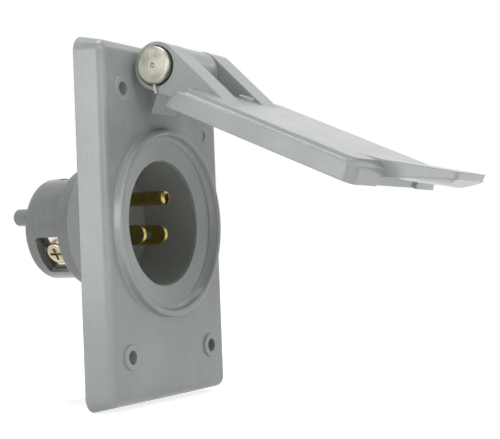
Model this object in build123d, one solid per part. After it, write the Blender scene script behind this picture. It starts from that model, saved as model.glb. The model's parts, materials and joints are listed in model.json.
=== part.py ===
from build123d import *
import os
from math import acos, atan, atan2, cos, degrees, hypot, radians, sin

# Flanged power inlet with a hinged weather lid. Millimetres. +Z is up, -Y is the front that a
# person faces, and the wall is at y = 0, so whatever lies behind the wall has positive y. The
# origin is the centre of the four corner screw holes on the wall plane.

# Cover plate
plate_width = 71.4
plate_height = 115.9
plate_depth = 9.2
plate_corner_radius = 5.0
plate_flare = 2.0
plate_front_radius = 2.8
plate_face = 2.4
plate_rim = 2.3
gasket_ledge = 1.0
rib_thickness = 1.6

# Corner screws
hole_spacing_x = 47.6
hole_spacing_z = 83.3
hole_diameter = 4.4
hole_boss_diameter = 8.0
hole_boss_height = 0.7
hole_boss_round = 0.25
mark_place = (24.0, 30.0)
mark_radius = 1.8
mark_depth = 0.35

# Collar round the opening
opening_radius = 20.4
opening_sink = 1.2
collar_crest_radius = 29.4
collar_height = 2.7
collar_crest_width = 1.8
collar_draft = 0.3
collar_base_fillet = 0.5
dish_radius = 26.6
dish_sink = 0.2
lip_round = 0.35
lip_thickness = 0.8

# Inlet cup
cup_radius = 20.2
cup_wall = 1.7
cup_depth = 22.2
cup_floor = 2.0
ear_radius_at = 33.0
ear_width = 8.0
ear_thickness = 1.8
ear_screw_radius = 1.4

# Contacts
blade_pitch = 12.7
blade_width = 6.35
blade_thickness = 1.5
blade_drop = 3.5
blade_length = 17.5
blade_hole_diameter = 3.2
blade_hole_from_tip = 7.0
ground_diameter = 4.8
ground_rise = 8.3
ground_lead = 4.8
ground_wall = 0.95
ground_slot = 2.0
contact_slack = 0.1

# Carrier and terminal housing
carrier_radius = 20.0
carrier_length = 6.0
housing_radius = 17.0
housing_length = 15.5
housing_edge_radius = 1.4
terminal_angle = 35.0
terminal_window_width = 14.0
terminal_window_length = 10.2
ground_window_width = 9.6
ground_window_length = 9.2
window_corner_radius = 1.0
window_setback = 0.9
pad_radius_at = 9.4
pad_thickness = 1.4
pad_margin = 1.0
clamp_margin = 0.4
wire_gap = 1.2
clamp_thickness = 1.3
terminal_screw_radius = 1.6
terminal_head_radius = 3.9
terminal_head_height = 1.9
recess_width = 0.9
recess_reach = 2.3
recess_depth = 1.2
wire_hole_radius = 1.9
facet_angle = 22.5
facet_half_angle = 17.5
facet_flat_length = 4.6
facet_length = 11.5
key_place = 28.7
key_radius = 1.5
key_depth = 1.0
post_x = 12.0
post_z = 4.05
post_radius = 2.85
post_length = 6.4
assembly_circle_radius = 12.5
assembly_screw_radius = 1.5
assembly_head_radius = 2.8
assembly_head_height = 1.7

# Hinge
hinge_stand_off = 9.5
hinge_from_top = 9.65
knuckle_radius = 7.4
knuckle_width = 15.0
knuckle_side_gap = 0.3
pedestal_drop = 13.0
pedestal_slope = 24.0
pin_radius = 2.5
pin_running_gap = 0.06
pin_head_radius = 6.0
pin_head_height = 3.5
pin_recess_depth = 1.5
pin_recess_gap = 0.4
pin_head_round = 0.9
pin_dimple_radius = 0.8
retainer_radius = 5.2
retainer_thickness = 1.2
split_wire_radius = 0.4
split_pin_stand_off = 0.9
split_pin_start = 1.5
split_pin_reach = 8.6
spring_wire_radius = 0.45
spring_radius = 3.7
spring_turns = 5
spring_pitch = 1.3
spring_chamber_gap = 0.7

# Lid
lid_opening = 65.5
lid_half_width = 33.35
lid_above_axis = 32.9
lid_below_axis = 33.4
lid_clearance = 1.0
lid_skirt_height = 5.4
lid_side_draft = 0.5
lid_near_draft = 2.2
lid_corner_radius = 3.5
lid_wall = 1.9
lid_edge_radius = 0.4
panel_rise = 1.55
panel_inset = 2.1
cove_radius = 1.3
panel_thickness = 1.8
arm_width = 10.7
arm_radius = 7.6
arm_foot_run = 10.8
arm_heel_run = 0.9
arm_heel = 7.0
tab_root_half_width = 13.4
tab_tip_half_width = 12.0
tab_run = 9.4
tab_length = 20.4
tab_knee = (11.7, 1.6)
tab_tip_top = 3.7
tab_tip_thickness = 2.2
tab_root_bottom = 5.5
tab_corner_radius = 1.2
tab_root_bulge = 0.4
tab_bulge = 2.3
tab_bulge_run = 3.0
lip_recess = 1.0
lip_margin = 3.5
rest_place = (4.0, 6.3)
rest_size = (5.0, 3.6)
rest_height = 1.2
rest_round = 0.6

# Rubber
plate_gasket_thickness = 2.2
plate_gasket_slack = 0.2
inlet_gasket_width = 2.0
lid_gasket_gap = 0.3
lid_gasket_hole_radius = 24.0
lid_gasket_slack = 0.3

# Places that follow from the sizes above
face_y = -plate_depth
face_back_y = face_y + plate_face
ledge_y = -plate_gasket_thickness
hinge_y = face_y - hinge_stand_off
hinge_height = plate_height / 2 - hinge_from_top
cup_front_y = face_y + opening_sink + lip_thickness
floor_y = face_y + cup_depth
carrier_y = floor_y + cup_floor
housing_y = carrier_y + carrier_length
rear_y = housing_y + housing_length
window_y = housing_y + window_setback
clamp_radius_at = pad_radius_at + pad_thickness + wire_gap
ear_back_y = ledge_y - 2 * plate_gasket_slack
ear_front_y = ear_back_y - ear_thickness
arm_inner = knuckle_width / 2 + knuckle_side_gap
arm_outer = arm_inner + arm_width
cup_outer_radius = cup_radius + cup_wall
hole_boss_radius = hole_boss_diameter / 2
pedestal_foot = hinge_height - pedestal_drop
lid_near_end = hinge_height - lid_above_axis
lid_far_end = hinge_height + lid_below_axis
lid_skirt_bottom = hinge_stand_off - lid_clearance
lid_skirt_top = lid_skirt_bottom - lid_skirt_height
panel_level = panel_rise - lid_skirt_top
ceiling_level = panel_level - panel_thickness
arm_foot = lid_near_end + arm_foot_run
tab_start = lid_far_end - tab_run
tab_end = lid_far_end + tab_length
split_pin_x = -arm_outer - split_pin_stand_off


def block(x_range, y_range, z_range):
    """A box between three pairs of coordinates."""
    low = (x_range[0], y_range[0], z_range[0])
    size = (x_range[1] - x_range[0], y_range[1] - y_range[0], z_range[1] - z_range[0])
    return Pos(*low) * Box(*size, align=(Align.MIN, Align.MIN, Align.MIN))


def rod_y(radius, start, end, x=0, z=0):
    """A cylinder along Y from start to end."""
    return Pos(x, (start + end) / 2, z) * Rot(90, 0, 0) * Cylinder(radius, end - start)


def rod_x(radius, start, end, y=0, z=0):
    """A cylinder along X from start to end."""
    return Pos((start + end) / 2, y, z) * Rot(0, 90, 0) * Cylinder(radius, end - start)


def slab(width, height, radius, start, end):
    """A rounded rectangle in the wall plane, carried along Y from start to end."""
    outline = Plane.XZ * RectangleRounded(width, height, radius)
    return Pos(0, end, 0) * extrude(outline, amount=end - start)


def turned(*edges):
    """A solid of revolution about Y from a closed outline of edges in radius and y."""
    return revolve(Plane.XY * make_face(Curve() + list(edges)), axis=Axis.Y)


def outward(angle, y):
    """A frame at height y on the inlet's axis: x along Y, z outwards at this angle from +X."""
    return Plane(origin=(0, y, 0), x_dir=(0, 1, 0), z_dir=(cos(radians(angle)), 0, sin(radians(angle))))


def corner_places(half_x, half_z):
    return [(sx * half_x, sz * half_z) for sx in (-1, 1) for sz in (-1, 1)]


hole_places = corner_places(hole_spacing_x / 2, hole_spacing_z / 2)
ear_places = corner_places(ear_radius_at * cos(radians(45)), ear_radius_at * sin(radians(45)))


def collar():
    """The raised ring: shallow dish, hollow inner flank, rounded crest and a small foot fillet."""
    crest_in = collar_crest_radius - collar_crest_width / 2
    crest_out = collar_crest_radius + collar_crest_width / 2
    crest_y = face_y - collar_height
    shoulder = crest_y + collar_crest_width / 4
    lip_y = face_y + opening_sink
    dish = (dish_radius, face_y + dish_sink)
    flank_middle = (crest_in - 0.28 * (crest_in - dish_radius), face_y - 0.24 * collar_height)
    foot = crest_out + collar_draft
    foot_end = foot + collar_base_fillet
    foot_y = face_y - collar_base_fillet
    corner = collar_base_fillet * (1 - cos(radians(45)))
    edge = lip_round * (1 - cos(radians(45)))
    return turned(
        Line((opening_radius, face_back_y), (opening_radius, lip_y + lip_round)),
        ThreePointArc((opening_radius, lip_y + lip_round), (opening_radius + edge, lip_y + edge),
                      (opening_radius + lip_round, lip_y)),
        Line((opening_radius + lip_round, lip_y), dish),
        ThreePointArc(dish, flank_middle, (crest_in, shoulder)),
        ThreePointArc((crest_in, shoulder), (collar_crest_radius, crest_y), (crest_out, shoulder)),
        Line((crest_out, shoulder), (foot, foot_y)),
        ThreePointArc((foot, foot_y), (foot + corner, face_y - corner), (foot_end, face_y)),
        Line((foot_end, face_y), (foot_end, face_back_y)),
        Line((foot_end, face_back_y), (opening_radius, face_back_y)),
    )


def knuckle():
    """The centre knuckle on its pedestal, which stands out from the plate's face."""
    half = knuckle_width / 2
    slope = radians(pedestal_slope)
    run = hinge_stand_off * 0.5
    foot = (face_back_y, pedestal_foot)
    outline = Polyline(
        foot,
        (face_y, pedestal_foot),
        (face_y - run, pedestal_foot + run / sin(slope) * cos(slope)),
        (hinge_y, hinge_height),
        (hinge_y, hinge_height + knuckle_radius),
        (face_back_y, hinge_height + knuckle_radius),
        foot,
    )
    web = extrude(Plane.YZ * make_face(outline), amount=half, both=True)
    body = web + rod_x(knuckle_radius, -half, half, hinge_y, hinge_height)
    bore = rod_x(pin_radius + pin_running_gap, -half - 1, half + 1, hinge_y, hinge_height)
    chamber_radius = spring_radius + spring_wire_radius + spring_chamber_gap
    chamber_start = -half + 2 * spring_pitch
    chamber = rod_x(chamber_radius, chamber_start, half + 1, hinge_y, hinge_height)
    anchor = rod_x(spring_wire_radius + contact_slack, chamber_start - spring_pitch, chamber_start,
                   hinge_y, hinge_height - spring_radius)
    return body - bore - chamber - anchor


def cover_plate():
    flare_angle = degrees(atan(plate_flare / plate_depth))
    outline = Plane.XZ * RectangleRounded(plate_width, plate_height, plate_corner_radius)
    shell = extrude(outline, amount=plate_depth, taper=flare_angle)
    front = shell.faces().sort_by(Axis.Y)[0]
    shell = fillet(front.edges(), plate_front_radius)
    seat_width = plate_width - 2 * plate_rim
    seat_height = plate_height - 2 * plate_rim
    seat_radius = plate_corner_radius - 1
    shell -= slab(seat_width, seat_height, seat_radius, ledge_y, 1)
    shell -= slab(seat_width - 2 * gasket_ledge, seat_height - 2 * gasket_ledge,
                  seat_radius - gasket_ledge, face_back_y, ledge_y + 1)
    pocket_half_height = seat_height / 2 - gasket_ledge
    for side in (-1, 1):
        x = side * knuckle_width / 3
        for z_range in ((-pocket_half_height, -opening_radius), (opening_radius, pocket_half_height)):
            shell += block((x - rib_thickness / 2, x + rib_thickness / 2),
                           (face_back_y, ledge_y - plate_gasket_slack), z_range)
    for x, z in hole_places:
        boss = rod_y(hole_boss_radius, face_y - hole_boss_height, 0, x, z)
        shell += fillet(boss.faces().sort_by(Axis.Y)[0].edges(), hole_boss_round)
    clear_radius = collar_crest_radius + collar_crest_width
    shell -= rod_y(clear_radius, face_back_y, ledge_y)
    shell = shell - rod_y(opening_radius, face_y - 1, 1) - rod_y(dish_radius, face_y - 1, face_back_y - 0.5)
    shell = shell + collar() - rod_y(cup_outer_radius + contact_slack, cup_front_y, face_back_y + 1)
    for x, z in ear_places:
        shell += rod_y(ear_width / 2 - 0.5, face_back_y - 0.5, ear_front_y, x, z)
    for x, z in ear_places:
        shell -= rod_y(ear_screw_radius, face_back_y, ear_front_y + 1, x, z)
    for x, z in hole_places:
        shell -= rod_y(hole_diameter / 2, face_y - 2, 1, x, z)
    for side in (-1, 1):
        shell -= rod_y(mark_radius, face_y - 1, face_y + mark_depth, side * mark_place[0], mark_place[1])
    return shell + knuckle()


def plate_gasket():
    width = plate_width - 2 * plate_rim - 2 * plate_gasket_slack
    height = plate_height - 2 * plate_rim - 2 * plate_gasket_slack
    pad = slab(width, height, plate_corner_radius - 1, ledge_y, 0)
    window = 2 * (ear_radius_at * cos(radians(45)) + ear_width / 2 + 0.5)
    pad -= slab(window, window, ear_width / 2, ledge_y - 1, 1)
    for x, z in hole_places:
        pad -= rod_y(hole_boss_radius + plate_gasket_slack, ledge_y - 1, 1, x, z)
    return pad


def contact_slots(start, end, slack):
    """The three openings that the contacts pass through."""
    tools = []
    for side in (-1, 1):
        x = side * blade_pitch / 2
        tools.append(block((x - blade_thickness / 2 - slack, x + blade_thickness / 2 + slack),
                           (start, end),
                           (-blade_drop - blade_width / 2 - slack, -blade_drop + blade_width / 2 + slack)))
    tools.append(rod_y(ground_diameter / 2 + slack, start, end, 0, ground_rise))
    return tools


def assembly_places():
    return [(assembly_circle_radius * cos(radians(a)), assembly_circle_radius * sin(radians(a)))
            for a in (-90, 30)]


def inlet_shell():
    cup = rod_y(cup_outer_radius, cup_front_y, carrier_y)
    ears = rod_y(cup_outer_radius + inlet_gasket_width + 1.5, ear_front_y, ear_back_y)
    for x, z in ear_places:
        reach = Plane(origin=(0, ear_back_y, 0), x_dir=(x, 0, z), z_dir=(0, -1, 0))
        arm = Pos(ear_radius_at / 2, 0) * Rectangle(ear_radius_at, ear_width)
        ears += extrude(reach * arm, amount=ear_thickness)
        ears += rod_y(ear_width / 2, ear_front_y, ear_back_y, x, z)
    cup = cup + ears - rod_y(cup_radius, cup_front_y - 1, floor_y)
    for tool in contact_slots(floor_y - 1, carrier_y + 1, contact_slack):
        cup -= tool
    for x, z in ear_places:
        cup -= rod_y(ear_screw_radius + contact_slack, ear_front_y - 1, ear_back_y + 1, x, z)
    for x, z in assembly_places():
        cup -= rod_y(assembly_screw_radius, floor_y + 0.8, carrier_y + 1, x, z)
    return cup


def inlet_gasket():
    inner = cup_outer_radius + contact_slack
    return rod_y(inner + inlet_gasket_width, face_back_y, ear_front_y) - rod_y(
        inner, face_back_y - 1, ear_front_y + 1)


def inlet_screws():
    solids = []
    for x, z in ear_places:
        head = rod_y(ear_screw_radius * 1.9, ear_back_y, ear_back_y + ear_screw_radius, x, z)
        head = fillet(head.faces().sort_by(Axis.Y)[-1].edges(), ear_screw_radius * 0.6)
        solids.append(head + rod_y(ear_screw_radius, face_back_y + 0.3, ear_back_y, x, z))
    return Compound(children=solids)


def contact_carrier():
    disc = rod_y(carrier_radius, carrier_y, housing_y)
    disc = fillet(disc.faces().sort_by(Axis.Y)[-1].edges(), 0.6)
    for tool in contact_slots(carrier_y - 1, housing_y + 1, contact_slack):
        disc -= tool
    for x, z in assembly_places():
        disc -= rod_y(assembly_screw_radius + contact_slack, carrier_y - 1, housing_y + 1, x, z)
    return disc


def terminals():
    """Angle from +X, window width and window length of the three terminals."""
    return {
        "line": (180 + terminal_angle, terminal_window_width, terminal_window_length),
        "neutral": (-terminal_angle, terminal_window_width, terminal_window_length),
        "ground": (90, ground_window_width, ground_window_length),
    }


def shank_hole(name, slack):
    """The clearance hole of a terminal's screw."""
    angle, width, length = terminals()[name]
    hole = Cylinder(terminal_screw_radius + slack, housing_radius)
    return outward(angle, window_y) * Pos(length / 2, 0, pad_radius_at) * hole


def rear_body():
    body = rod_y(housing_radius, housing_y, rear_y)
    body = fillet(body.faces().sort_by(Axis.Y)[-1].edges(), housing_edge_radius)
    post = rod_y(post_radius, rear_y - 1, rear_y + post_length, -post_x, post_z)
    body += fillet(post.faces().sort_by(Axis.Y)[-1].edges(), post_radius * 0.4)
    facet_level = housing_radius * cos(radians(facet_half_angle))
    facet_profile = make_face(Polyline(
        (-1, facet_level), (facet_flat_length, facet_level), (facet_length, housing_radius + 0.1),
        (facet_length, housing_radius + 1), (-1, housing_radius + 1), (-1, facet_level)))
    facet = extrude(Plane.XZ * facet_profile, amount=housing_radius, both=True)
    for angle in (facet_angle, 180 - facet_angle):
        body -= outward(angle, housing_y) * facet
    body -= outward(-90, key_place) * Pos(0, 0, housing_radius) * Cylinder(key_radius, 2 * key_depth)
    for name, (angle, width, length) in terminals().items():
        start = outward(angle, window_y)
        pocket = extrude(Pos(length / 2, 0) * RectangleRounded(length, width, window_corner_radius),
                         amount=housing_radius)
        body -= start * Pos(0, 0, pad_radius_at) * pocket
        wire_at = clamp_radius_at - wire_gap / 2 + wire_hole_radius / 2
        body -= rod_y(wire_hole_radius, window_y + length - 1, rear_y + 1,
                      wire_at * cos(radians(angle)), wire_at * sin(radians(angle)))
        body -= shank_hole(name, contact_slack)
    for tool in contact_slots(housing_y - 1, window_y + pad_margin + 1.5, contact_slack):
        body -= tool
    for angle, width, length in terminals().values():
        body -= outward(angle, housing_y - 1) * Pos(0, 0, contact_web(angle)[0]) * Box(
            window_setback + pad_margin + 2.6, contact_web(angle)[1] + 2 * contact_slack,
            pad_radius_at, align=(Align.MIN, Align.CENTER, Align.MIN))
    for x, z in assembly_places():
        body -= rod_y(assembly_screw_radius + contact_slack, housing_y - 1, rear_y + 1, x, z)
        body -= rod_y(assembly_head_radius + 2 * contact_slack, rear_y - assembly_head_height / 2,
                      rear_y + 1, x, z)
    return body


def contact_web(angle):
    """Where the folded web between a contact and its pad starts, outwards, and its width."""
    if angle == 90:
        return ground_rise, ground_diameter * 0.8
    return hypot(blade_pitch / 2, blade_drop) - blade_width / 4, blade_width * 0.7


def terminal_pad(name):
    """The flat pad that the wire is clamped against, with the web that leads to it."""
    angle, width, length = terminals()[name]
    start = outward(angle, window_y)
    pad = Pos(length / 2, 0, pad_radius_at) * Box(
        length - 2 * pad_margin, width - 2 * pad_margin, pad_thickness,
        align=(Align.CENTER, Align.CENTER, Align.MIN))
    web_at, web_width = contact_web(angle)
    web = Pos(pad_margin, 0, web_at) * Box(
        blade_thickness, web_width, pad_radius_at + pad_thickness - web_at,
        align=(Align.MIN, Align.CENTER, Align.MIN))
    return start * (pad + web)


def blade(name):
    side = -1 if name == "line" else 1
    x = side * blade_pitch / 2
    tip_y = floor_y - blade_length
    half = blade_width / 2
    end_y = window_y + pad_margin + blade_thickness
    outline = Curve() + [
        Line((end_y, half), (tip_y + half, half)),
        ThreePointArc((tip_y + half, half), (tip_y, 0), (tip_y + half, -half)),
        Line((tip_y + half, -half), (end_y, -half)),
        Line((end_y, -half), (end_y, half)),
    ]
    strip = extrude(Plane.YZ * make_face(outline), amount=blade_thickness / 2, both=True)
    hole = rod_x(blade_hole_diameter / 2, -blade_thickness, blade_thickness,
                 tip_y + blade_hole_from_tip, 0)
    return Pos(x, 0, -blade_drop) * (strip - hole) + terminal_pad(name) - shank_hole(name, contact_slack / 2)


def ground_pin():
    tip_y = floor_y - blade_length - ground_lead
    end_y = window_y + pad_margin + blade_thickness
    radius = ground_diameter / 2
    pin = rod_y(radius, tip_y, end_y)
    pin = fillet(pin.faces().sort_by(Axis.Y)[0].edges(), radius * 0.5)
    hollow = rod_y(radius - ground_wall, tip_y - 1, floor_y)
    slot = block((-ground_slot / 2, ground_slot / 2), (tip_y - 1, floor_y), (-radius - 1, 0))
    pin = Pos(0, 0, ground_rise) * (pin - hollow - slot) + terminal_pad("ground")
    return pin - shank_hole("ground", contact_slack / 2)


def wire_clamp(name):
    """A plate under the screw's head, with turned-down ends that keep the wire in."""
    angle, width, length = terminals()[name]
    start = outward(angle, window_y)
    long_side = length - 2 * clamp_margin
    plate = Pos(length / 2, 0, clamp_radius_at) * Box(
        long_side, width - 2 * clamp_margin, clamp_thickness,
        align=(Align.CENTER, Align.CENTER, Align.MIN))
    for end in (-1, 1):
        plate += Pos(length / 2, end * (width / 2 - clamp_margin - clamp_thickness / 2),
                     clamp_radius_at - wire_gap) * Box(
            long_side, clamp_thickness, wire_gap, align=(Align.CENTER, Align.CENTER, Align.MIN))
    return start * plate - shank_hole(name, contact_slack)


def terminal_screw(name):
    angle, width, length = terminals()[name]
    start = outward(angle, window_y)
    top = clamp_radius_at + clamp_thickness
    shank_bottom = pad_radius_at - 2.0
    shank = Pos(0, 0, shank_bottom) * Cylinder(
        terminal_screw_radius, top - shank_bottom, align=(Align.CENTER, Align.CENTER, Align.MIN))
    head = Pos(0, 0, top) * Cylinder(terminal_head_radius, terminal_head_height,
                                     align=(Align.CENTER, Align.CENTER, Align.MIN))
    head = fillet(head.edges().sort_by(Axis.Z)[-1], terminal_head_height * 0.4)
    screw = shank + head
    for turn in (0, 90):
        screw -= Pos(0, 0, top + terminal_head_height) * Rot(0, 0, turn) * Box(
            2 * recess_reach, recess_width, 2 * recess_depth)
    return start * Pos(length / 2, 0, 0) * screw


def assembly_screws():
    solids = []
    for x, z in assembly_places():
        seat = rear_y - assembly_head_height / 2
        head = rod_y(assembly_head_radius, seat, seat + assembly_head_height, x, z)
        head = fillet(head.faces().sort_by(Axis.Y)[-1].edges(), assembly_head_height * 0.4)
        solids.append(head + rod_y(assembly_screw_radius, floor_y + 1.0, seat, x, z))
    return Compound(children=solids)


def hinge_spring():
    """A torsion spring round the pin, one leg in the knuckle and one in the right arm."""
    height = spring_turns * spring_pitch
    start_x = -knuckle_width / 2 + 3.2 * spring_pitch
    low_end = -2 * spring_pitch
    high_end = arm_inner + spring_pitch - start_x
    wire = Helix(spring_pitch, height, spring_radius)
    spring = sweep(Plane(origin=wire @ 0, z_dir=wire % 0) * Circle(spring_wire_radius), path=wire)
    for z in (0, height):
        spring += Pos(spring_radius, 0, z) * Sphere(spring_wire_radius * 1.1)
    for low, high in ((low_end, 0), (height, high_end)):
        spring += Pos(spring_radius, 0, (low + high) / 2) * Cylinder(spring_wire_radius, high - low)
    return Plane(origin=(start_x, hinge_y, hinge_height), x_dir=(0, 0, -1), z_dir=(1, 0, 0)) * spring


def lid_point(along, out):
    """A place in the closed lid's profile: along from the hinge axis, out from the wall."""
    return (-out, -along)


def lid_outline(half_width, near, far, radius):
    middle = (near + far) / 2
    return Pos(0, -middle) * RectangleRounded(2 * half_width, far - near, radius)


def tray(bottom, top, bottom_out, top_out):
    """A loft between two rounded outlines that lie out from the wall by these amounts."""
    low = Plane.XZ.offset(bottom_out) * lid_outline(*bottom)
    high = Plane.XZ.offset(top_out) * lid_outline(*top)
    return loft([low.face(), high.face()])


def arm():
    """One gusset arm, its profile in the closed lid."""
    foot = (arm_foot, panel_level)
    foot_distance = hypot(*foot)
    rise = atan2(foot[1], foot[0]) + acos(arm_radius / foot_distance)
    heel = (lid_near_end + arm_heel_run, -arm_heel)
    heel_distance = hypot(*heel)
    fall = atan2(heel[1], heel[0]) - acos(arm_radius / heel_distance)
    outline = [
        (arm_radius * cos(rise), arm_radius * sin(rise)),
        foot,
        (arm_foot, foot[1] - panel_thickness / 2),
        (lid_near_end + lid_near_draft, foot[1] - panel_thickness),
        (lid_near_end + lid_near_draft, -lid_skirt_top),
        heel,
        (arm_radius * cos(fall), arm_radius * sin(fall)),
        (0, 0),
    ]
    points = [lid_point(a, n) for a, n in outline]
    profile = make_face(Polyline(*points, points[0]))
    web = extrude(Plane.YZ * profile, amount=arm_width)
    return web + rod_x(arm_radius, 0, arm_width)


def tab_swell():
    """The swell under the tab: it grows from the root and runs out just before the tip."""
    tip_bottom = tab_tip_top - tab_tip_thickness
    slope = (tip_bottom + tab_root_bottom) / tab_length
    crest_end = tab_end - tab_bulge_run
    ridge = [(lid_far_end, -tab_root_bottom - tab_root_bulge),
             (crest_end, tip_bottom - slope * tab_bulge_run - tab_bulge)]
    incline = atan2(ridge[1][1] - ridge[0][1], ridge[1][0] - ridge[0][0])
    outline = [
        (lid_far_end - lid_wall, -tab_root_bottom),
        (tab_end, tip_bottom),
        ridge[1],
        (crest_end, ridge[0][1] - tab_bulge),
        (lid_far_end - lid_wall, ridge[0][1] - tab_bulge),
    ]
    points = [lid_point(a, n) for a, n in outline]
    profile = make_face(Polyline(*points, points[0]))
    reach = extrude(Plane.YZ * profile, amount=tab_tip_half_width, both=True)
    radius = (tab_tip_half_width ** 2 + tab_bulge ** 2) / (2 * tab_bulge)
    y, z = lid_point((ridge[0][0] + ridge[1][0]) / 2 - radius * sin(incline),
                     (ridge[0][1] + ridge[1][1]) / 2 + radius * cos(incline))
    axis = Plane(origin=(0, y, z), x_dir=(1, 0, 0), z_dir=(0, -sin(incline), -cos(incline)))
    return reach & (axis * Cylinder(radius, 2 * tab_end))


def finger_tab():
    """The tapered tab that lifts off the wall towards its tip."""
    tip_bottom = tab_tip_top - tab_tip_thickness
    wall_inside = lid_far_end - lid_wall
    start = lid_point(tab_start, panel_level)
    knee = lid_point(tab_start + tab_knee[0], panel_level + tab_knee[1])
    outline = [
        (tab_end, tab_tip_top),
        (tab_end, tip_bottom),
        (lid_far_end, -tab_root_bottom),
        (wall_inside, -tab_root_bottom),
        (wall_inside, ceiling_level),
        (tab_start, ceiling_level),
    ]
    points = [lid_point(a, n) for a, n in outline]
    rise = TangentArc(start, knee, tangent=(0, -1))
    profile = make_face(Curve() + [rise, Polyline(knee, *points, start)])
    body = extrude(Plane.YZ * profile, amount=tab_root_half_width, both=True)
    plan = Polygon((-tab_root_half_width, -tab_start), (-tab_tip_half_width, -tab_end),
                   (tab_tip_half_width, -tab_end), (tab_root_half_width, -tab_start), align=None)
    tips = plan.vertices().group_by(Axis.Y)[0]
    plan = fillet(tips, tab_corner_radius)
    keep = extrude(Plane.XZ.offset(-lid_skirt_bottom) * plan, amount=2 * lid_skirt_bottom)
    return (body & keep) + tab_swell()


def spring_rest():
    """The small rounded block on the panel, between the two arms."""
    width, length = rest_size
    pad = Box(width, rest_height + 1, length, align=(Align.CENTER, Align.MIN, Align.CENTER))
    pad = fillet(pad.faces().sort_by(Axis.Y)[0].edges() + pad.edges().filter_by(Axis.Y), rest_round)
    return Pos(rest_place[0], -panel_level - rest_height, -lid_near_end - rest_place[1]) * pad


def lid_closed():
    """The lid with the hinge axis on X and the lid shut, so its skirt faces the wall."""
    inset = lid_side_draft
    bottom = (lid_half_width, lid_near_end, lid_far_end, lid_corner_radius)
    top = (lid_half_width - inset, lid_near_end + lid_near_draft, lid_far_end - inset, lid_corner_radius)
    skirt = tray(bottom, top, -lid_skirt_bottom, -lid_skirt_top)
    skirt = fillet(skirt.faces().sort_by(Axis.Y)[0].edges(), lid_edge_radius)
    panel_size = (top[0] - panel_inset, top[1] + panel_inset, top[2] - panel_inset)
    panel = lid_outline(*panel_size, lid_corner_radius - panel_inset / 2)
    body = skirt + extrude(Plane.XZ.offset(-lid_skirt_top - 1) * panel, amount=panel_rise + 1)
    foot = [e for e in body.edges() if abs(e.center().Y - lid_skirt_top) < 0.01
            and abs(e.center().X) < panel_size[0] + 0.01
            and panel_size[1] - 0.01 < -e.center().Z < panel_size[2] + 0.01]
    body = fillet(foot, cove_radius)
    cavity_low = (lid_half_width - lid_wall, lid_near_end + lid_wall, lid_far_end - lid_wall,
                  lid_corner_radius - 1)
    cavity_high = (top[0] - 1.7, top[1] + 1.2, top[2] - 1.6, lid_corner_radius - 1)
    cavity = tray(cavity_low, cavity_high, -lid_skirt_bottom - 0.01, ceiling_level)
    for x in (-arm_outer, arm_inner):
        body += Pos(x, 0, 0) * arm()
    body = body - cavity
    notch_half = tab_tip_half_width + lip_margin
    body -= block((-notch_half, notch_half), (tab_root_bottom, lid_skirt_bottom + 1),
                  (-lid_far_end - 1, -lid_far_end + lip_recess))
    return body + finger_tab() + spring_rest()


def lid_cuts():
    """The pin's bore and the recesses for its head and its retainer, with the lid shut."""
    cuts = [rod_x(pin_radius + pin_running_gap / 2, -arm_outer - 1, arm_outer + 1)]
    cuts.append(rod_x(pin_head_radius + pin_recess_gap, -arm_outer - 1, -arm_outer + pin_recess_depth))
    cuts.append(rod_x(retainer_radius + pin_recess_gap, arm_outer - pin_recess_depth, arm_outer + 1))
    return cuts


def shut_down():
    """The direction, in the shut lid, that points straight down when the lid is open."""
    return Rot(lid_opening, 0, 0)


def split_pin_slot(slack):
    half = 2 * split_wire_radius + slack
    return block((split_pin_x - half, split_pin_x + half),
                 (-split_wire_radius - slack, split_wire_radius + slack),
                 (-split_pin_reach, -split_pin_start + split_wire_radius + slack))


def lid():
    body = lid_closed()
    for cut in lid_cuts():
        body -= cut
    leg_hole = rod_x(spring_wire_radius + 2 * contact_slack, arm_inner - 1,
                     arm_inner + 1.5 * spring_pitch, 0, -spring_radius)
    return body - shut_down() * leg_hole


def lid_gasket():
    face = -hinge_stand_off + collar_height + lid_gasket_gap
    near = lid_near_end + lid_near_draft + 1.2 + lid_gasket_slack
    outline = (lid_half_width - lid_side_draft - 1.7 - lid_gasket_slack, near,
               lid_far_end - lid_side_draft - 1.6 - lid_gasket_slack, lid_corner_radius - 1)
    pad = extrude(Plane.XZ.offset(face) * lid_outline(*outline), amount=ceiling_level - face)
    return pad - rod_y(lid_gasket_hole_radius, 0, hinge_stand_off, 0, -hinge_height)


def hinge_pin():
    seat = -arm_outer + pin_recess_depth - contact_slack
    head = rod_x(pin_head_radius, seat - pin_head_height, seat)
    head = fillet(head.faces().sort_by(Axis.X)[0].edges(), pin_head_round)
    head -= Pos(seat - pin_head_height, 0, 0) * Sphere(pin_dimple_radius)
    far_end = arm_outer + 0.4
    shaft = rod_x(pin_radius, seat, far_end)
    shaft = fillet(shaft.faces().sort_by(Axis.X)[-1].edges(), 0.5)
    return head + shaft - shut_down() * split_pin_slot(contact_slack / 2)


def pin_retainer():
    seat = arm_outer - pin_recess_depth
    disc = rod_x(retainer_radius, seat, seat + retainer_thickness)
    disc = fillet(disc.faces().sort_by(Axis.X)[-1].edges(), 0.4)
    return disc - rod_x(pin_radius, seat - 1, seat + 2)


def split_pin():
    """Two wire legs that hang below the pin's head, joined inside it."""
    pin = Pos(split_pin_x, 0, -split_pin_start) * Rot(0, 90, 0) * Cylinder(
        split_wire_radius, 4 * split_wire_radius)
    for side, reach in ((-1, split_pin_reach - 0.6), (1, split_pin_reach)):
        length = reach - split_pin_start
        pin += Pos(split_pin_x + side * split_wire_radius, 0, -split_pin_start - length / 2) * Cylinder(
            split_wire_radius, length)
    return pin


open_frame = Pos(0, hinge_y, hinge_height) * Rot(-lid_opening, 0, 0)
open_down = open_frame * shut_down()

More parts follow.
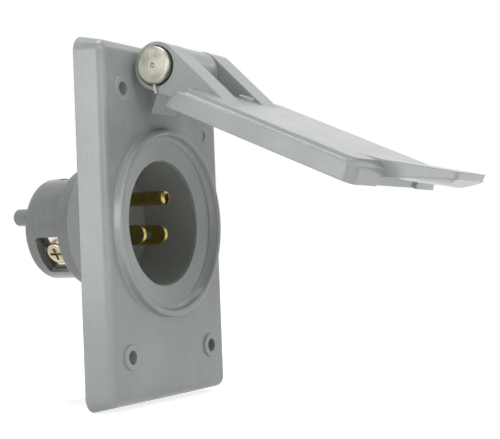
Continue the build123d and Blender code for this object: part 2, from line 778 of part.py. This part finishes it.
nodes = {
    "cover_plate": cover_plate(),
    "plate_gasket": plate_gasket(),
    "inlet_shell": inlet_shell(),
    "inlet_gasket": inlet_gasket(),
    "inlet_screws": inlet_screws(),
    "contact_carrier": contact_carrier(),
    "rear_body": rear_body(),
    "line_blade": blade("line"),
    "neutral_blade": blade("neutral"),
    "ground_pin": ground_pin(),
    "assembly_screws": assembly_screws(),
    "hinge_spring": hinge_spring(),
    "lid": open_frame * lid(),
    "lid_gasket": open_frame * lid_gasket(),
    "hinge_pin": open_frame * hinge_pin(),
    "pin_retainer": open_frame * pin_retainer(),
    "split_pin": open_down * split_pin(),
}
for terminal in terminals():
    nodes[terminal + "_clamp"] = wire_clamp(terminal)
    nodes[terminal + "_screw"] = terminal_screw(terminal)

os.makedirs("parts", exist_ok=True)
for name, shape in nodes.items():
    export_step(shape, os.path.join("parts", name + ".step"))
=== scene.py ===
import json
import math

import bmesh
import bpy
from mathutils import Matrix, Vector


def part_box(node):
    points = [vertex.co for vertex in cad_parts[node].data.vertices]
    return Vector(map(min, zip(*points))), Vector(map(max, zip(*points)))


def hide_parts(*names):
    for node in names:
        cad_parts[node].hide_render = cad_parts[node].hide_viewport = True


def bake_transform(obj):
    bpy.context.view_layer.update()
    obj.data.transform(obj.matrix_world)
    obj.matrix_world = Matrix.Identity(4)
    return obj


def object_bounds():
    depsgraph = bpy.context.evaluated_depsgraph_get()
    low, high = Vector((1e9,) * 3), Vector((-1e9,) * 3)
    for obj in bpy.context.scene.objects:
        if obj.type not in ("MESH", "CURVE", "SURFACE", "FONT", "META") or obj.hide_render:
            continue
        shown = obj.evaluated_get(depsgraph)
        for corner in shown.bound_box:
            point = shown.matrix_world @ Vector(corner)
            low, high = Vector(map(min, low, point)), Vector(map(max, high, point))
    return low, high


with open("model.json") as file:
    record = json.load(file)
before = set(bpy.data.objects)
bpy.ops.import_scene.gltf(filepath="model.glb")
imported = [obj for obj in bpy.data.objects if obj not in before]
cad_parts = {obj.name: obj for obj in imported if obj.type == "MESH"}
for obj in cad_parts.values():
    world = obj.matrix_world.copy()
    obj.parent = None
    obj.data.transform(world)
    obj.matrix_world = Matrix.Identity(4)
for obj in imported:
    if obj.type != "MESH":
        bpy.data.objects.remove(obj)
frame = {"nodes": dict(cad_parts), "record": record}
cad_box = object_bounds()

scene = bpy.context.scene
WHITE = (1, 1, 1, 1)


def srgb(r, g, b):
    """A linear RGBA colour from 8-bit sRGB values."""
    def linear(v):
        v /= 255.0
        return v / 12.92 if v <= 0.04045 else ((v + 0.055) / 1.055) ** 2.4
    return (linear(r), linear(g), linear(b), 1.0)


def grey(level):
    """A neutral linear RGBA colour."""
    return (level, level, level, 1)


def add_node(tree, kind, **values):
    """A new node of a node tree, with these properties."""
    made = tree.nodes.new(kind)
    for key, value in values.items():
        setattr(made, key, value)
    return made


class Surface:
    """A Principled material with object-space helpers for noise, ramps and bumps.

    Lengths are in metres, and the scale of a noise is in cells per metre.
    """

    def __init__(self, name, metallic=0.0, specular=0.5):
        self.material = bpy.data.materials.new(name)
        self.material.use_nodes = True
        self.tree = self.material.node_tree
        self.shader = self.tree.nodes["Principled BSDF"]
        self.shader.inputs["Metallic"].default_value = metallic
        self.shader.inputs["Specular IOR Level"].default_value = specular
        self.place = self.node("ShaderNodeTexCoord").outputs["Object"]
        self.normal = None

    def node(self, kind, **values):
        return add_node(self.tree, kind, **values)

    def link(self, source, target):
        self.tree.links.new(source, target)

    def noise(self, scale, detail=3.0, roughness=0.55, stretch=None):
        """Noise from 0 to 1, drawn out along the axes where stretch is small."""
        made = self.node("ShaderNodeTexNoise")
        made.inputs["Scale"].default_value = scale
        made.inputs["Detail"].default_value = detail
        made.inputs["Roughness"].default_value = roughness
        place = self.place
        if stretch:
            mapping = self.node("ShaderNodeMapping")
            mapping.inputs["Scale"].default_value = stretch
            self.link(self.place, mapping.inputs["Vector"])
            place = mapping.outputs["Vector"]
        self.link(place, made.inputs["Vector"])
        return made.outputs["Fac"]

    def ramp(self, value, low, high, start=0.0, end=1.0):
        """Maps value from low..high to start..end, smoothly clamped."""
        made = self.node("ShaderNodeMapRange", interpolation_type="SMOOTHSTEP")
        made.inputs["From Min"].default_value = low
        made.inputs["From Max"].default_value = high
        made.inputs["To Min"].default_value = start
        made.inputs["To Max"].default_value = end
        self.link(value, made.inputs["Value"])
        return made.outputs["Result"]

    def arithmetic(self, operation, a, b=None):
        """The result of a Math node on socket a and, if given, a socket or number b."""
        made = self.node("ShaderNodeMath", operation=operation)
        self.link(a, made.inputs[0])
        if isinstance(b, float):
            made.inputs[1].default_value = b
        elif b is not None:
            self.link(b, made.inputs[1])
        return made.outputs[0]

    def mix(self, factor, a, b):
        """A colour between a and b, each an RGBA tuple or a socket."""
        made = self.node("ShaderNodeMix", data_type="RGBA")
        self.link(factor, made.inputs["Factor"])
        sockets = {socket.identifier: socket for socket in (*made.inputs, *made.outputs)}
        for socket, value in ((sockets["A_Color"], a), (sockets["B_Color"], b)):
            if isinstance(value, tuple):
                socket.default_value = value
            else:
                self.link(value, socket)
        return sockets["Result_Color"]

    def length(self, vector):
        made = self.node("ShaderNodeVectorMath", operation="LENGTH")
        self.link(vector, made.inputs[0])
        return made.outputs["Value"]

    def rounded(self, radius, ring=None):
        """Shades hard edges as if they had a small radius, which differs along a ring round Y.

        ring is (ring radius, half width, edge radius there). The edge radius changes over the
        outer part of the ring's width.
        """
        made = self.node("ShaderNodeBevel", samples=6)
        made.inputs["Radius"].default_value = radius
        if ring:
            ring_radius, half_width, radius_there = ring
            across = self.node("ShaderNodeVectorMath", operation="MULTIPLY")
            across.inputs[1].default_value = (1, 0, 1)
            self.link(self.place, across.inputs[0])
            offset = self.arithmetic("SUBTRACT", self.length(across.outputs[0]), ring_radius)
            away = self.arithmetic("ABSOLUTE", offset)
            full_within = 0.6 * half_width
            self.link(self.ramp(away, full_within, half_width, radius_there, radius),
                      made.inputs["Radius"])
        self.normal = made.outputs["Normal"]

    def bump(self, height, depth, strength):
        made = self.node("ShaderNodeBump")
        made.inputs["Distance"].default_value = depth
        made.inputs["Strength"].default_value = strength
        self.link(height, made.inputs["Height"])
        if self.normal is not None:
            self.link(self.normal, made.inputs["Normal"])
        self.normal = made.outputs["Normal"]

    def done(self, colour, roughness):
        self.link(colour, self.shader.inputs["Base Color"])
        self.link(roughness, self.shader.inputs["Roughness"])
        if self.normal is not None:
            self.link(self.normal, self.shader.inputs["Normal"])
        return self.material


def moulded_plastic(name, base, dark, light, roughness, edge=0.0003, grain=0.12, ring=None,
                    tool_lines=0.0):
    """Injection-moulded plastic: flow clouds, specks, scuffs, satin grain and rounded edges.

    tool_lines is how strongly the turned mould shows as fine lines round the Y axis.
    """
    s = Surface(name)
    s.rounded(edge, ring)
    clouds = s.noise(34.0, detail=4.0, roughness=0.6)
    specks = s.noise(1100.0, detail=2.0, roughness=0.6)
    scuffs = s.noise(310.0, detail=6.0, roughness=0.75, stretch=(1, 1, 0.3))
    colour = s.mix(s.ramp(clouds, low=0.32, high=0.70), dark, base)
    colour = s.mix(s.ramp(specks, low=0.55, high=0.72, end=0.40), colour, light)
    colour = s.mix(s.ramp(scuffs, low=0.60, high=0.72, end=0.60), colour, dark)
    satin = s.noise(2600.0, detail=2.0, roughness=0.55)
    sink_marks = s.noise(60.0, detail=1.0)
    s.bump(satin, depth=0.00003, strength=grain)
    s.bump(sink_marks, depth=0.0002, strength=0.10)
    if tool_lines:
        lines = s.noise(1500.0, detail=4.0, roughness=0.7, stretch=(0.02, 1, 0.02))
        colour = s.mix(s.ramp(lines, low=0.35, high=0.65, end=tool_lines), colour, light)
        s.bump(lines, depth=0.00002, strength=tool_lines)
    handled = s.noise(95.0, detail=2.0, roughness=0.5)
    return s.done(colour, s.ramp(handled, low=0.3, high=0.75,
                                 start=roughness - 0.02, end=roughness + 0.04))


def rubber(name, base, dusty):
    """Matt moulded rubber with a fine pebble and dusty blotches."""
    s = Surface(name, specular=0.3)
    s.rounded(0.0002)
    blotch = s.noise(160.0, detail=5.0, roughness=0.7)
    pebble = s.noise(3200.0, detail=2.0)
    s.bump(pebble, depth=0.00004, strength=0.5)
    return s.done(s.mix(s.ramp(blotch, low=0.4, high=0.75), base, dusty),
                  s.ramp(blotch, low=0.3, high=0.8, start=0.62, end=0.8))


def metal(name, base, dull, roughness, stretch, streaks=900.0, depth=0.4):
    """Machined, stamped or drawn metal: fine streaks along one direction and dull patches.

    streaks is the noise scale of the streaks, stretch gives their direction, and depth is how
    strongly they show in relief.
    """
    s = Surface(name, metallic=1.0)
    s.rounded(0.00015)
    lines = s.noise(streaks, detail=4.0, roughness=0.7, stretch=stretch)
    patches = s.noise(210.0, detail=5.0, roughness=0.65)
    s.bump(lines, depth=0.00002, strength=depth)
    worn = s.ramp(patches, low=0.35, high=0.75, start=roughness - 0.03, end=roughness + 0.05)
    brushed = s.ramp(lines, low=0.3, high=0.7, start=-0.02, end=0.02)
    return s.done(s.mix(s.ramp(patches, low=0.38, high=0.72), base, dull),
                  s.arithmetic("ADD", worn, brushed))


# The three tones of a plastic are its base, dark and light. Every finish keeps its whole range of
# roughness on one side of 0.274, because the denoiser draws outlines where a surface crosses it.
grey_tones = srgb(171, 176, 173), srgb(161, 166, 163), srgb(186, 191, 188)
cup_tones = srgb(162, 166, 162), srgb(154, 158, 154), srgb(172, 176, 172)
dark_tones = srgb(134, 138, 136), srgb(126, 130, 128), srgb(144, 148, 146)
satin_roughness = 0.22
finish = {
    "grey_plastic": moulded_plastic("grey_plastic_moulded", *grey_tones, satin_roughness,
                                    edge=0.0005),
    "cup_plastic": moulded_plastic("cup_plastic_moulded", *cup_tones, 0.34),
    "dark_plastic": moulded_plastic("dark_plastic_moulded", *dark_tones, 0.16, grain=0.10,
                                    tool_lines=0.6),
    "black_rubber": rubber("black_rubber_moulded", srgb(38, 38, 38), srgb(56, 56, 55)),
    "contact_brass": metal("contact_brass_stamped", srgb(190, 172, 104), srgb(170, 150, 84), 0.34,
                           stretch=(1, 0.06, 1), streaks=700.0, depth=0.12),
    "nickel_plate": metal("nickel_plate_stamped", srgb(214, 210, 200), srgb(192, 188, 178), 0.14,
                          stretch=(1, 1, 0.1), streaks=700.0, depth=0.25),
    "terminal_screw": metal("terminal_screw_plated", srgb(186, 176, 152), srgb(150, 139, 116), 0.20,
                            stretch=(1, 1, 1), streaks=1500.0),
    "zinc_steel": metal("zinc_steel_plated", srgb(186, 188, 190), srgb(156, 158, 160), 0.34,
                        stretch=(1, 1, 1), streaks=1500.0),
    "spring_steel": metal("spring_steel_drawn", srgb(150, 151, 153), srgb(112, 112, 112), 0.34,
                          stretch=(0.1, 1, 1)),
    "pin_steel": metal("pin_steel_dull", srgb(172, 171, 160), srgb(138, 136, 125), 0.38,
                       stretch=(0.05, 1, 1), streaks=1300.0, depth=0.9),
}
# The collar's crest, 26.8 mm from the Y axis, is shaded rounder than the plate's other edges.
crest_ring = (0.0268, 0.0022, 0.0016)
plate_plastic = moulded_plastic("grey_plastic_moulded_plate", *grey_tones, satin_roughness,
                                ring=crest_ring)


def dress(obj, material):
    """Gives obj this one material."""
    if not obj.material_slots:
        obj.data.materials.append(material)
    for slot in obj.material_slots:
        slot.material = material


slot_of = {part["node"]: part["material_slot"] for part in frame["record"]["subparts"]}
for name, obj in frame["nodes"].items():
    dress(obj, plate_plastic if name == "cover_plate" else finish[slot_of[name]])


def wire_mesh(name, route, radius):
    """A mesh of round wire along the route's points."""
    line = bpy.data.curves.new(name + "_line", "CURVE")
    line.dimensions = "3D"
    line.bevel_depth = radius
    line.bevel_resolution = 3
    line.use_fill_caps = True
    spline = line.splines.new("POLY")
    spline.points.add(len(route) - 1)
    for point, place in zip(spline.points, route):
        point.co = (*place, 1.0)
    guide = bpy.data.objects.new(name + "_line", line)
    scene.collection.objects.link(guide)
    bpy.context.view_layer.update()
    evaluated = guide.evaluated_get(bpy.context.evaluated_depsgraph_get())
    mesh = bpy.data.meshes.new_from_object(evaluated)
    bpy.data.objects.remove(guide)
    for face in mesh.polygons:
        face.use_smooth = True
    return mesh


def torsion_spring(name, node, wire_radius, pitch, turns, points_per_turn=24):
    """The hinge's hidden spring, wound round X inside the node's box.
    """
    low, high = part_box(node)
    axis_y, axis_z = (low[1] + high[1]) / 2, (low[2] + high[2]) / 2
    radius = (high[2] - low[2]) / 2 - wire_radius
    coil_start = low[0] + 2 * pitch
    coil_end = coil_start + turns * pitch
    steps = points_per_turn * turns
    low_leg = [(low[0], 0.0), (low[0] + pitch, 0.0)]
    coil = [(coil_start + turns * pitch * i / steps, 2 * math.pi * i / points_per_turn)
            for i in range(steps + 1)]
    high_leg = [(coil_end + pitch, 0.0), (high[0], 0.0)]
    route = [(x, axis_y + radius * math.sin(angle), axis_z - radius * math.cos(angle))
             for x, angle in low_leg + coil + high_leg]
    spring = bpy.data.objects.new(name, wire_mesh(name, route, wire_radius))
    scene.collection.objects.link(spring)
    dress(spring, finish["spring_steel"])
    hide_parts(node)
    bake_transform(spring)


torsion_spring("wound_spring", "hinge_spring", wire_radius=0.00045, pitch=0.0013, turns=5)


def seen_directly(tree):
    """1 for camera, glossy and transmission rays, and 0 for the rays that light the object."""
    path = add_node(tree, "ShaderNodeLightPath")
    factor = path.outputs["Is Camera Ray"]
    for ray in ("Is Glossy Ray", "Is Transmission Ray"):
        either = add_node(tree, "ShaderNodeMath", operation="MAXIMUM")
        tree.links.new(factor, either.inputs[0])
        tree.links.new(path.outputs[ray], either.inputs[1])
        factor = either.outputs[0]
    return factor


def white_floor(size, drop, glow_near, glow_far, near, far):
    """A matt white sheet under the object that keeps its shadow and fades to plain white far off.

    Its glow grows from glow_near to glow_far between the distances near and far from its middle.
    """
    mesh = bpy.data.meshes.new("floor")
    sheet = bmesh.new()
    bmesh.ops.create_grid(sheet, x_segments=1, y_segments=1, size=size)
    sheet.to_mesh(mesh)
    sheet.free()
    floor = bpy.data.objects.new("floor", mesh)
    lowest_z = cad_box[0][2]
    floor.location.z = lowest_z - drop
    scene.collection.objects.link(floor)

    paper = Surface("floor_paper", specular=0.0)
    fibre = paper.noise(900.0)
    glow = paper.ramp(paper.length(paper.place), near, far, glow_near, glow_far)
    strength = paper.arithmetic("MULTIPLY", glow, seen_directly(paper.tree))
    paper.shader.inputs["Emission Color"].default_value = WHITE
    paper.link(strength, paper.shader.inputs["Emission Strength"])
    mesh.materials.append(paper.done(
        paper.mix(paper.ramp(fibre, low=0.3, high=0.7), grey(0.91), grey(0.93)),
        paper.ramp(fibre, low=0.3, high=0.7, start=0.85, end=0.95)))


def white_world(light):
    """White where it is seen, and this much even light on the object."""
    world = bpy.data.worlds.new("studio")
    scene.world = world
    world.use_nodes = True
    tree = world.node_tree
    background = tree.nodes["Background"]
    background.inputs["Color"].default_value = WHITE
    strength = add_node(tree, "ShaderNodeMapRange")
    strength.inputs["To Min"].default_value = light
    strength.inputs["To Max"].default_value = 1.0
    tree.links.new(seen_directly(tree), strength.inputs["Value"])
    tree.links.new(strength.outputs["Result"], background.inputs["Strength"])


def softbox(name, place, size, power, colour):
    """A rectangular lamp of that many watts at place, aimed at the origin and not seen itself."""
    lamp = bpy.data.lights.new(name, "AREA")
    lamp.shape = "RECTANGLE"
    lamp.size, lamp.size_y = size
    lamp.energy = power
    lamp.color = colour
    obj = bpy.data.objects.new(name, lamp)
    obj.location = place
    towards = Vector((0, 0, 0)) - Vector(place)
    obj.rotation_euler = towards.to_track_quat("-Z", "Y").to_euler()
    obj.visible_camera = False
    scene.collection.objects.link(obj)


white_floor(size=6.0, drop=0.0002, glow_near=0.74, glow_far=1.0, near=0.25, far=1.3)
white_world(light=0.10)

neutral, cool = (1, 1, 1), (0.95, 0.975, 1.0)
for name, place, size, power, colour in (
    ("top_box", (0.0, 0.0, 1.0), (0.6, 0.6), 5.0, cool),
    ("left_box", (-1.00, 0.15, 0.02), (0.5, 0.8), 4.7, neutral),
    ("front_box", (-0.50, -0.80, 0.50), (0.4, 0.4), 2.3, neutral),
    ("right_box", (0.68, -0.50, 0.60), (0.5, 0.5), 1.0, neutral),
    ("strip_left", (-0.52, -0.90, 0.02), (0.07, 0.6), 1.0, neutral),
    ("strip_front", (0.10, -1.10, 0.12), (0.08, 0.7), 0.8, neutral),
):
    softbox(name, place, size, power, colour)


def photo_camera(place, yaw, pitch, roll, lens, sensor_width=36.0):
    """A camera at place, turned by yaw from +Y towards +X, then by pitch and roll, in degrees.

    lens and sensor_width are in millimetres.
    """
    yaw, pitch, roll = (math.radians(v) for v in (yaw, pitch, roll))
    forward = Vector((math.sin(yaw) * math.cos(pitch),
                      math.cos(yaw) * math.cos(pitch),
                      math.sin(pitch)))
    level_right = Vector((math.cos(yaw), -math.sin(yaw), 0.0))
    level_up = level_right.cross(forward)
    right = level_right * math.cos(roll) + level_up * math.sin(roll)
    up = level_up * math.cos(roll) - level_right * math.sin(roll)
    data = bpy.data.cameras.new("camera")
    data.sensor_fit = "HORIZONTAL"
    data.sensor_width = sensor_width
    data.lens = lens
    data.clip_start = 0.01
    data.clip_end = 50.0
    camera = bpy.data.objects.new("camera", data)
    turn = Matrix((right, up, -forward)).transposed().to_4x4()
    camera.matrix_world = Matrix.Translation(place) @ turn
    scene.collection.objects.link(camera)
    scene.camera = camera


# Fitted to the photograph by the corner holes, the opening's rim and the plate's outline.
photo_camera(place=(-0.34652, -0.22922, -0.01087), yaw=61.333, pitch=1.528, roll=-2.272, lens=90.54)

scene.view_settings.view_transform = "Standard"
